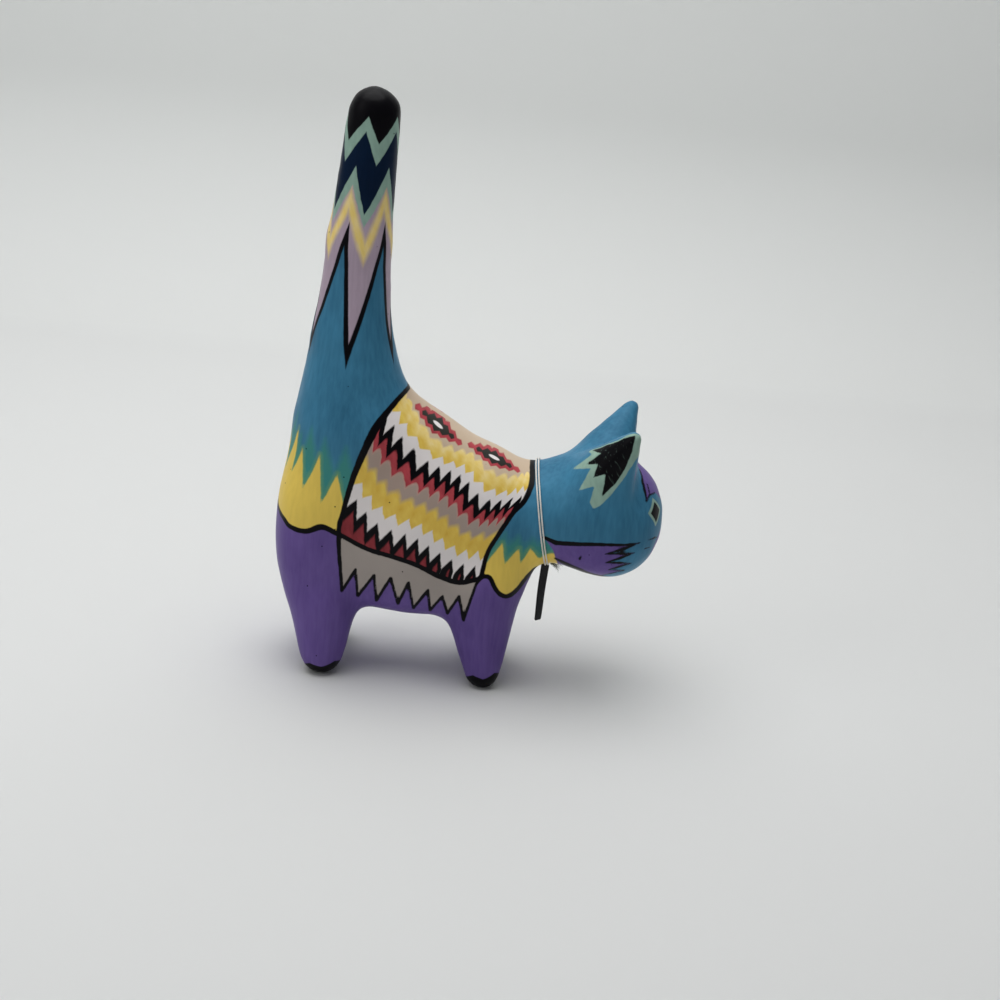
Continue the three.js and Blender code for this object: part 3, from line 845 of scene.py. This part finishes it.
        oval = add_node(tree, MATH, dict(enumerate(squared)), operation="ADD")
        notches = add_node(tree, MATH, {0: reach[0], 1: DIAMOND_NOTCH}, operation="PINGPONG")
        jagged = add_node(tree, MATH, {0: notches, 1: DIAMOND_JAG, 2: rhombus}, operation="MULTIPLY_ADD")
        # The red, its olive middle and the white spot: paint, form, size and softness next to the diamond's.
        for fill, value, size, soft in (
            (fills["red"], jagged, 1.0, 0.06),
            (paint("olive"), jagged, 0.66, 0.05),
            (paint("white"), oval, 0.028, 0.008),
        ):
            span = {"Value": value, "From Min": size + soft, "From Max": size - soft}
            rows.append((fill, add_node(tree, "ShaderNodeMapRange", span)))
    blanket = layered(streaked(paint("beige"), paint("beige", 0.84), clouds), rows)

    # The tail: zigzags all round it, one paint above the next.
    ahead, left, up = stored_parts("tail_place")
    right = add_node(tree, MATH, {0: left, 1: -1.0}, operation="MULTIPLY")
    turn = add_node(tree, MATH, {0: ahead, 1: right}, operation="ARCTAN2")
    tail, distances = [], []
    for name, dip, peak, dip_angle, lean, tooth_width, soft in TAIL_EDGES:
        teeth = {0: turn, 1: TAIL_TEETH / (2 * math.pi), 2: -dip_angle * TAIL_TEETH / 360}
        shape = {
            "Dip": dip,
            "Peak": peak,
            "Lean": lean,
            "Tooth Width": tooth_width,
            "Roundness": 0.0,
            "Along": add_node(tree, MATH, teeth, operation="MULTIPLY_ADD"),
            "Height": up,
        }
        distances.append(add_node(tree, "ShaderNodeGroup", shape, node_tree=zigzag))
        tail.append((fills[name], covered(distances[-1], soft=soft, side=1)))
    off_spikes = add_node(tree, MATH, {0: distances[0]}, operation="ABSOLUTE")
    spike_line = add_node(tree, MATH, {0: off_spikes, 1: SPIKE_LINE_HALF}, operation="SUBTRACT")

    blue = streaked(paint("blue"), paint("deep_blue"), brushed)
    scratched = streaked(paint("black"), paint("sage", 0.4), slanted, low=0.6, high=0.95)
    colour = layered(blue, [
        (paint("green"), edge("green_edge", soft=1.8, wander=2.4, most=0.8)),
        (paint("leaf"), edge("flames", soft=2.2, wander=1.6, most=0.9)),
        (yellow, edge("flames", soft=0.3)),
        (purple, edge("purple_edge")),
        (purple, edge("cheek_edge")),
        (grey, edge("apron_edge")),
        (blanket, edge("blanket_edge")),
        *tail,
        (paint("black"), covered(spike_line, wander=0.3)),
        (purple, edge("brow_edge")),
        (purple, edge("muzzle_edge", soft=0.8)),
        (fills["sage"], edge("ear_sage")),
        (scratched, edge("ear_black", wander=0.8)),
        (purple, edge("inner_ear")),
        (fills["sage"], edge("eye_edge")),
        (paint("black"), edge("eye_inner")),
        (paint("black"), edge("nose_edge")),
        (paint("black"), edge("ink", wander=0.45)),
    ])

    # Stray specks of black paint, small and far apart.
    grid = add_node(tree, "ShaderNodeTexVoronoi", {"Vector": spot, "Scale": 1 / (SPECK_SPACING * MM)})
    ends = {"Value": grid, "From Min": SPECK_RADII[0], "From Max": SPECK_RADII[1]}
    speck = add_node(tree, "ShaderNodeMapRange", ends)
    colour = layered(colour, [(paint("black"), speck)])

    # Strokes stand up a little in the paint, and dry paint shines unevenly.
    relief = add_node(tree, MATH, {0: slanted, 1: 0.4, 2: brushed}, operation="MULTIPLY_ADD")
    bump = add_node(tree, "ShaderNodeBump", {"Strength": 0.3, "Distance": 0.3 * MM, "Height": relief})
    ends = {"Value": brushed, "From Min": 0.3, "From Max": 0.7, "To Min": 0.30, "To Max": 0.46}
    shine = add_node(tree, "ShaderNodeMapRange", ends)
    surface = add_node(
        tree, "ShaderNodeBsdfPrincipled",
        {"Base Color": colour.outputs[2], "Roughness": shine, "Normal": bump, "Specular IOR Level": 0.08},
    )
    add_node(tree, "ShaderNodeOutputMaterial", {"Surface": surface})
    return material


def spun_cotton(name, colour):
    """Spun cotton: matt and fuzzy, with darker fibres and soiled patches here and there."""
    material, tree = new_material(name)
    spot = add_node(tree, "ShaderNodeTexCoord").outputs["Object"]
    fibres = add_node(tree, "ShaderNodeTexNoise", {"Vector": spot, "Scale": 1 / CORD_GRAIN, "Detail": 3.0})
    patches = add_node(tree, "ShaderNodeTexNoise", {"Vector": spot, "Scale": 1 / SOILED_PATCH, "Detail": 2.0})
    mixed = add_node(tree, MATH, {0: fibres, 1: patches}, operation="MULTIPLY")
    share = add_node(tree, "ShaderNodeMapRange", {"Value": mixed, "From Min": 0.15, "From Max": 0.35})
    ends = {0: share, 6: (*(FIBRE_SHADE * c for c in colour), 1), 7: (*colour, 1)}
    tint = add_node(tree, "ShaderNodeMix", ends, data_type="RGBA")
    bump = add_node(tree, "ShaderNodeBump", {"Strength": 0.5, "Distance": 0.08 * MM, "Height": fibres})
    surface = add_node(
        tree, "ShaderNodeBsdfPrincipled",
        {"Base Color": tint.outputs[2], "Roughness": 0.92, "Normal": bump, "Sheen Weight": 0.3},
    )
    add_node(tree, "ShaderNodeOutputMaterial", {"Surface": surface})
    return material


def black_strip(colour):
    """Thin dyed leather, cut and pressed: close grain, low sheen, rubbed a little grey in patches."""
    material, tree = new_material("cut_black_leather")
    spot = add_node(tree, "ShaderNodeTexCoord").outputs["Object"]
    grain = add_node(tree, "ShaderNodeTexVoronoi", {"Vector": spot, "Scale": 1 / LEATHER_GRAIN})
    rubbed = add_node(tree, "ShaderNodeTexNoise", {"Vector": spot, "Scale": 1 / LEATHER_PATCH, "Detail": 4.0})
    share = add_node(tree, "ShaderNodeMapRange", {"Value": rubbed, "From Min": 0.45, "From Max": 0.75})
    ends = {0: share, 6: (*colour, 1), 7: (*(RUBBED_GAIN * c for c in colour), 1)}
    tint = add_node(tree, "ShaderNodeMix", ends, data_type="RGBA")
    bump = add_node(tree, "ShaderNodeBump", {"Strength": 0.4, "Distance": 0.06 * MM, "Height": grain})
    shine = add_node(tree, "ShaderNodeMapRange", {"Value": rubbed, "To Min": 0.38, "To Max": 0.6})
    leather = {"Base Color": tint.outputs[2], "Roughness": shine, "Normal": bump, "Specular IOR Level": 0.25}
    surface = add_node(tree, "ShaderNodeBsdfPrincipled", leather)
    add_node(tree, "ShaderNodeOutputMaterial", {"Surface": surface})
    return material


def pale_paper(floor, painted_lit_wall):
    """Smooth photographic paper: pale and matt, with painted light where it stands up behind: a lighter
    colour there.
    """
    material, tree = new_material("pale_backdrop_paper")
    spot = add_node(tree, "ShaderNodeTexCoord").outputs["Object"]
    back = add_node(tree, "ShaderNodeSeparateXYZ", {0: spot}).outputs["Y"]
    span = {"Value": back, "From Min": BACKDROP_Y - BACKDROP_FADE, "From Max": BACKDROP_Y + BACKDROP_BEND}
    share = add_node(tree, "ShaderNodeMapRange", span)
    tint = add_node(tree, "ShaderNodeMix", {0: share, 6: (*floor, 1), 7: (*painted_lit_wall, 1)}, data_type="RGBA")
    paper = {"Base Color": tint.outputs[2], "Roughness": 0.8, "Specular IOR Level": 0.2}
    surface = add_node(tree, "ShaderNodeBsdfPrincipled", paper)
    add_node(tree, "ShaderNodeOutputMaterial", {"Surface": surface})
    return material


def neck_ring(skin, offset, clearance):
    """Places round the neck where a strand lies on the skin, from under the throat and back to it."""
    up = (CORD_TOP - CORD_MIDDLE).normalized()
    along = Vector((0, 1, 0)).cross(up)
    middle = CORD_MIDDLE + along * offset
    ring = []
    for i in range(CORD_STEPS):
        angle = 2 * math.pi * i / CORD_STEPS
        outward = -math.cos(angle) * up + Vector((0, math.sin(angle), 0))
        hit = skin.ray_cast(middle, outward)[0]
        ring.append(hit + outward * clearance)
    return ring


def twisted_cord_tree():
    """Geometry nodes that turn a line into a string of three plies twisted together."""
    inputs = {"Line": "Geometry", "Material": "Material"}
    inputs.update(dict.fromkeys(("Thickness", "Twist", "Step"), "Float"))
    tree, given = new_group("twisted_cord", "GeometryNodeTree", inputs, {"Cord": "Geometry"})
    line = add_node(tree, "GeometryNodeMeshToCurve", {"Mesh": given["Line"]})
    steps = {"Curve": line, "Length": given["Step"]}
    path = add_node(tree, "GeometryNodeResampleCurve", steps, mode="LENGTH")
    reached = add_node(tree, "GeometryNodeSplineParameter").outputs["Length"]
    turns = add_node(tree, MATH, {0: reached, 1: given["Twist"]}, operation="DIVIDE")
    normal = add_node(tree, "GeometryNodeInputNormal").outputs["Normal"]
    tangent = add_node(tree, "GeometryNodeInputTangent")
    beside = add_node(tree, "ShaderNodeVectorMath", {0: tangent, 1: normal}, operation="CROSS_PRODUCT")
    ply_radius = add_node(tree, MATH, {0: given["Thickness"], 1: PLY_SHARE}, operation="MULTIPLY")
    ply_reach = add_node(tree, MATH, {0: given["Thickness"], 1: 0.5 - PLY_SHARE}, operation="MULTIPLY")
    ply_outline = {"Resolution": PLY_SIDES, "Radius": ply_radius}
    profile = add_node(tree, "GeometryNodeCurvePrimitiveCircle", ply_outline)
    joined = add_node(tree, "GeometryNodeJoinGeometry")
    for ply in range(PLIES):
        winding = {0: turns, 1: 2 * math.pi, 2: 2 * math.pi * ply / PLIES}
        angle = add_node(tree, MATH, winding, operation="MULTIPLY_ADD")
        offset = None
        for direction, wave in ((normal, "COSINE"), (beside, "SINE")):
            swing = add_node(tree, MATH, {0: angle}, operation=wave)
            reach = add_node(tree, MATH, {0: swing, 1: ply_reach}, operation="MULTIPLY")
            part = add_node(tree, "ShaderNodeVectorMath", {0: direction, "Scale": reach}, operation="SCALE")
            if offset:
                part = add_node(tree, "ShaderNodeVectorMath", {0: offset, 1: part}, operation="ADD")
            offset = part
        wound = add_node(tree, "GeometryNodeSetPosition", {"Geometry": path, "Offset": offset})
        sweep = {"Curve": wound, "Profile Curve": profile, "Fill Caps": True}
        tube = add_node(tree, "GeometryNodeCurveToMesh", sweep)
        tree.links.new(tube.outputs[0], joined.inputs[0])
    real = add_node(tree, "GeometryNodeRealizeInstances", {"Geometry": joined})
    dressed = add_node(tree, "GeometryNodeSetMaterial", {"Geometry": real, "Material": given["Material"]})
    add_node(tree, "NodeGroupOutput", {0: dressed})
    return tree


def frayed_tree():
    """Geometry nodes that grow a tuft of short bent fibres out of one point."""
    inputs = {"Root": "Geometry", "Material": "Material", "Length": "Float", "Fibres": "Int"}
    tree, given = new_group("frayed_end", "GeometryNodeTree", inputs, {"Tuft": "Geometry"})
    copies = {"Geometry": given["Root"], "Amount": given["Fibres"]}
    grown = add_node(tree, "GeometryNodeDuplicateElements", copies, domain="POINT")
    number = add_node(tree, "GeometryNodeInputIndex")
    spread = {"Min": (-FIBRE_ROOT,) * 3, "Max": (FIBRE_ROOT,) * 3, "ID": number, "Seed": 3}
    shift = add_node(tree, "FunctionNodeRandomValue", spread, data_type="FLOAT_VECTOR")
    roots = add_node(tree, "GeometryNodeSetPosition", {"Geometry": grown, "Offset": shift})
    bend = {"Resolution": 7, "Start": (0, 0, 0), "Middle": (0.5, 0, 0.12), "End": (1, 0, -0.15)}
    fibre = add_node(tree, "GeometryNodeCurveQuadraticBezier", bend)
    profile = add_node(tree, "GeometryNodeCurvePrimitiveCircle", {"Resolution": 4, "Radius": FIBRE_RADIUS})
    sweep = {"Curve": fibre, "Profile Curve": profile, "Fill Caps": True}
    strand = add_node(tree, "GeometryNodeCurveToMesh", sweep)
    fan = {"Min": FIBRE_FAN[0], "Max": FIBRE_FAN[1], "ID": number, "Seed": 5}
    aim = add_node(tree, "FunctionNodeRandomValue", fan, data_type="FLOAT_VECTOR")
    share = {2: SHORTEST_FIBRE, 3: 1.0, "ID": number, "Seed": 8}
    size = add_node(tree, "FunctionNodeRandomValue", share, data_type="FLOAT")
    length = add_node(tree, MATH, {0: size, 1: given["Length"]}, operation="MULTIPLY")
    planted = {"Points": roots, "Instance": strand, "Rotation": aim, "Scale": length}
    placed = add_node(tree, "GeometryNodeInstanceOnPoints", planted)
    real = add_node(tree, "GeometryNodeRealizeInstances", {"Geometry": placed})
    dressed = add_node(tree, "GeometryNodeSetMaterial", {"Geometry": real, "Material": given["Material"]})
    add_node(tree, "NodeGroupOutput", {0: dressed})
    return tree


def grown_mesh(points, tree, values):
    """Runs geometry nodes on a closed line or on one point, and returns the plain mesh they make."""
    count = len(points)
    edges = [(i, (i + 1) % count) for i in range(count)] if count > 1 else []
    mesh = bpy.data.meshes.new("line")
    mesh.from_pydata(points, edges, [])
    obj = new_object("line", mesh)
    modifier = obj.modifiers.new("grow", "NODES")
    modifier.node_group = tree
    for item in tree.interface.items_tree:
        if item.in_out == "INPUT" and item.name in values:
            modifier[item.identifier] = values[item.name]
    return baked_mesh(obj)


def joined_mesh(meshes):
    """One mesh from several."""
    shape = bmesh.new()
    for mesh in meshes:
        shape.from_mesh(mesh)
    whole = bpy.data.meshes.new("joined")
    shape.to_mesh(whole)
    shape.free()
    return whole


class PAINTEDCAT_OT_stage(bpy.types.Operator):
    """Sets the pale floor, the soft lights and the camera"""

    bl_idname = "painted_cat.set_stage"
    bl_label = "Set the stage"

    def execute(self, context):
        settings = context.scene.painted_cat_stage
        context.scene.camera = self.aim_camera()
        self.lay_floor(settings)
        world = bpy.data.worlds.new("studio")
        world.use_nodes = True
        background = world.node_tree.nodes["Background"]
        background.inputs["Color"].default_value = (*settings.surround_tint, 1)
        background.inputs["Strength"].default_value = settings.surround
        context.scene.world = world
        self.hang_light("overhead", TOP_LIGHT_PLACE, TOP_LIGHT_SIZE, settings.top_light)
        self.hang_light("left", SIDE_LIGHT_PLACE, SIDE_LIGHT_SIZE, settings.side_light)
        context.scene.view_settings.view_transform = "Standard"
        return {"FINISHED"}

    def aim_camera(self):
        forward = Vector((0, math.cos(LOOK_DOWN), -math.sin(LOOK_DOWN)))
        right, up = Vector((1, 0, 0)), Vector((0, math.sin(LOOK_DOWN), math.cos(LOOK_DOWN)))
        turned_right = right * math.cos(CAMERA_ROLL) + up * math.sin(CAMERA_ROLL)
        turned_up = up * math.cos(CAMERA_ROLL) - right * math.sin(CAMERA_ROLL)
        lens = bpy.data.cameras.new("camera")
        lens.lens = LENS_MM
        lens.sensor_width = SENSOR_MM
        camera = new_object("camera", lens)
        turn = Matrix((turned_right, turned_up, -forward)).transposed().to_4x4()
        camera.matrix_world = Matrix.Translation(AIM - forward * CAMERA_DISTANCE) @ turn
        return camera

    def lay_floor(self, settings):
        profile = [(BACKDROP_FRONT, 0.0), (BACKDROP_Y, 0.0)]
        for i in range(1, BEND_STEPS + 1):
            angle = math.pi / 2 * i / BEND_STEPS
            back = BACKDROP_Y + BACKDROP_BEND * math.sin(angle)
            profile.append((back, BACKDROP_BEND * (1 - math.cos(angle))))
        profile.append((BACKDROP_Y + BACKDROP_BEND, BACKDROP_TOP))
        points = [(x, y, z) for y, z in profile for x in (-BACKDROP_HALF_WIDTH, BACKDROP_HALF_WIDTH)]
        faces = [(2 * i, 2 * i + 1, 2 * i + 3, 2 * i + 2) for i in range(len(profile) - 1)]
        mesh = bpy.data.meshes.new("backdrop")
        mesh.from_pydata(points, [], faces)
        mesh.materials.append(pale_paper(settings.floor, settings.painted_lit_wall))
        for polygon in mesh.polygons:
            polygon.use_smooth = True
        new_object("backdrop", mesh)

    def hang_light(self, name, place, size, power):
        lamp = bpy.data.lights.new(name, "AREA")
        lamp.shape = "DISK"
        lamp.size = size
        lamp.energy = power
        light = new_object(name, lamp)
        light.location = place
        light.rotation_euler = (AIM - Vector(place)).to_track_quat("-Z", "Y").to_euler()


class PAINTEDCAT_OT_carved_cat(bpy.types.Operator):
    """Carves the cat's skin and paints it"""

    bl_idname = "painted_cat.carve_cat"
    bl_label = "Carve and paint the cat"

    def execute(self, context):
        skin = carve_skin(context.scene.painted_cat_carving)
        lay_out_paint(skin)
        material = painted_wood(context.scene.painted_cat_paints)
        finished_piece("carved_cat", skin, material, "cat")
        return {"FINISHED"}


class PAINTEDCAT_OT_neck_cord(bpy.types.Operator):
    """Winds the doubled cotton cord round the neck, with its knot and frayed end"""

    bl_idname = "painted_cat.tie_cord"
    bl_label = "Tie the neck cord"

    def execute(self, context):
        settings = context.scene.painted_cat_cord
        carved = bpy.data.objects["carved_cat"]
        skin = BVHTree.FromObject(carved, context.evaluated_depsgraph_get())
        material = spun_cotton("spun_cotton_string", settings.cotton)
        given = {"Thickness": settings.strand, "Twist": settings.twist}
        given.update({"Step": CORD_GRAIN, "Material": material})
        tree = twisted_cord_tree()
        clearance = settings.strand / 2 + CORD_CLEARANCE
        lines = [neck_ring(skin, side * settings.pitch, clearance) for side in (-0.5, 0.5)]
        throat = neck_ring(skin, 0, settings.strand / 2 + KNOT_DROP)[0]
        lines.append([throat + self.knot_place(2 * math.pi * i / KNOT_STEPS) for i in range(KNOT_STEPS)])
        cord = joined_mesh([grown_mesh(line, tree, given) for line in lines])
        finished_piece("doubled_cotton_cord", cord, material, "neck_cord")
        soiled = spun_cotton("frayed_soiled_cotton", settings.soiled)
        tuft = {"Length": settings.frayed, "Fibres": FIBRES, "Material": soiled}
        frayed = grown_mesh([throat + Vector(FIBRE_PLACE)], frayed_tree(), tuft)
        finished_piece("frayed_cord_end", frayed, soiled, "neck_cord")
        return {"FINISHED"}

    def knot_place(self, angle):
        """A point of an overhand knot, which is a trefoil pulled tight."""
        reach = KNOT_RADIUS * (math.sin(angle) + 2 * math.sin(2 * angle)) / 3
        rise = KNOT_RADIUS * (math.cos(angle) - 2 * math.cos(2 * angle)) / 3
        return Vector((reach, -KNOT_FLATNESS * KNOT_RADIUS * math.sin(3 * angle), rise))


class PAINTEDCAT_OT_hanging_strip(bpy.types.Operator):
    """Cuts the narrow black strip and hangs it beside the knot"""

    bl_idname = "painted_cat.hang_strip"
    bl_label = "Hang the strip"

    def execute(self, context):
        settings = context.scene.painted_cat_strip
        low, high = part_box("hanging_strip")
        drop = settings.length * math.sin(settings.lean) / 2
        top = Vector(((low[0] + high[0]) / 2 + drop, (low[1] + high[1]) / 2, high[2]))
        section = self.section(settings.width / 2, settings.thickness / 2)
        points, faces = [], []
        for step in range(STRIP_STEPS + 1):
            down = step / STRIP_STEPS
            ease = 1 - STRIP_EDGE_SHRINK * (step in (0, STRIP_STEPS))
            turn = Matrix.Rotation(settings.twist * down, 4, "Z")
            lean = Matrix.Rotation(settings.lean, 4, "Y")
            sway = STRIP_SWAY * math.sin(STRIP_SWAY_TURN * down)
            for x, y in section:
                hung = turn @ Vector((x * ease, y * ease + sway, 0)) - Vector((0, 0, settings.length * down))
                points.append(top + lean @ hung)
        count = len(section)
        for step in range(STRIP_STEPS):
            for i in range(count):
                a, b = step * count + i, step * count + (i + 1) % count
                faces.append((a, a + count, b + count, b))
        faces.append(tuple(range(count)))
        faces.append(tuple(reversed(range(STRIP_STEPS * count, (STRIP_STEPS + 1) * count))))
        mesh = bpy.data.meshes.new("strip")
        mesh.from_pydata(points, [], faces)
        shape = bmesh.new()
        shape.from_mesh(mesh)
        bmesh.ops.recalc_face_normals(shape, faces=shape.faces)
        shape.to_mesh(mesh)
        shape.free()
        leather = black_strip(tuple(settings.black))
        finished_piece("black_strip", mesh, leather, "hanging_strip")
        return {"FINISHED"}

    def section(self, half_width, half_thickness):
        """The strip's cross-section, with rounded edges."""
        round_off = STRIP_ROUNDING * half_thickness
        places = []
        for corner_x, corner_y, start in ((1, 1, 0), (-1, 1, 90), (-1, -1, 180), (1, -1, 270)):
            for k in range(CORNER_STEPS + 1):
                angle = math.radians(start + 90 / CORNER_STEPS * k)
                x = corner_x * (half_width - round_off) + round_off * math.cos(angle)
                y = corner_y * (half_thickness - round_off) + round_off * math.sin(angle)
                places.append((x, y))
        return places


class PAINTEDCAT_PT_panel(bpy.types.Panel):
    """Lists the pieces and their sizes and colours"""

    bl_idname = "PAINTEDCAT_PT_panel"
    bl_label = "Painted cat"
    bl_space_type = "VIEW_3D"
    bl_region_type = "UI"
    bl_category = "Painted cat"

    def draw(self, context):
        for operator, settings in STEPS:
            box = self.layout.box()
            box.operator(operator.bl_idname)
            for name in settings:
                group = getattr(context.scene, name)
                for key in group.__annotations__:
                    box.prop(group, key)


STEPS = [
    (PAINTEDCAT_OT_stage, ["painted_cat_stage"]),
    (PAINTEDCAT_OT_carved_cat, ["painted_cat_carving", "painted_cat_paints"]),
    (PAINTEDCAT_OT_neck_cord, ["painted_cat_cord"]),
    (PAINTEDCAT_OT_hanging_strip, ["painted_cat_strip"]),
]
SETTINGS = {
    "painted_cat_stage": StageSettings,
    "painted_cat_carving": CarvingSettings,
    "painted_cat_paints": PaintSettings,
    "painted_cat_cord": CordSettings,
    "painted_cat_strip": StripSettings,
}


def register():
    for name, settings in SETTINGS.items():
        bpy.utils.register_class(settings)
        setattr(bpy.types.Scene, name, bpy.props.PointerProperty(type=settings))
    for operator, _ in STEPS:
        bpy.utils.register_class(operator)
    bpy.utils.register_class(PAINTEDCAT_PT_panel)


def unregister():
    bpy.utils.unregister_class(PAINTEDCAT_PT_panel)
    for operator, _ in reversed(STEPS):
        bpy.utils.unregister_class(operator)
    for name, settings in reversed(SETTINGS.items()):
        delattr(bpy.types.Scene, name)
        bpy.utils.unregister_class(settings)


def main():
    register()
    bpy.ops.painted_cat.set_stage()
    bpy.ops.painted_cat.carve_cat()
    bpy.ops.painted_cat.tie_cord()
    bpy.ops.painted_cat.hang_strip()


if __name__ == "__main__":
    main()
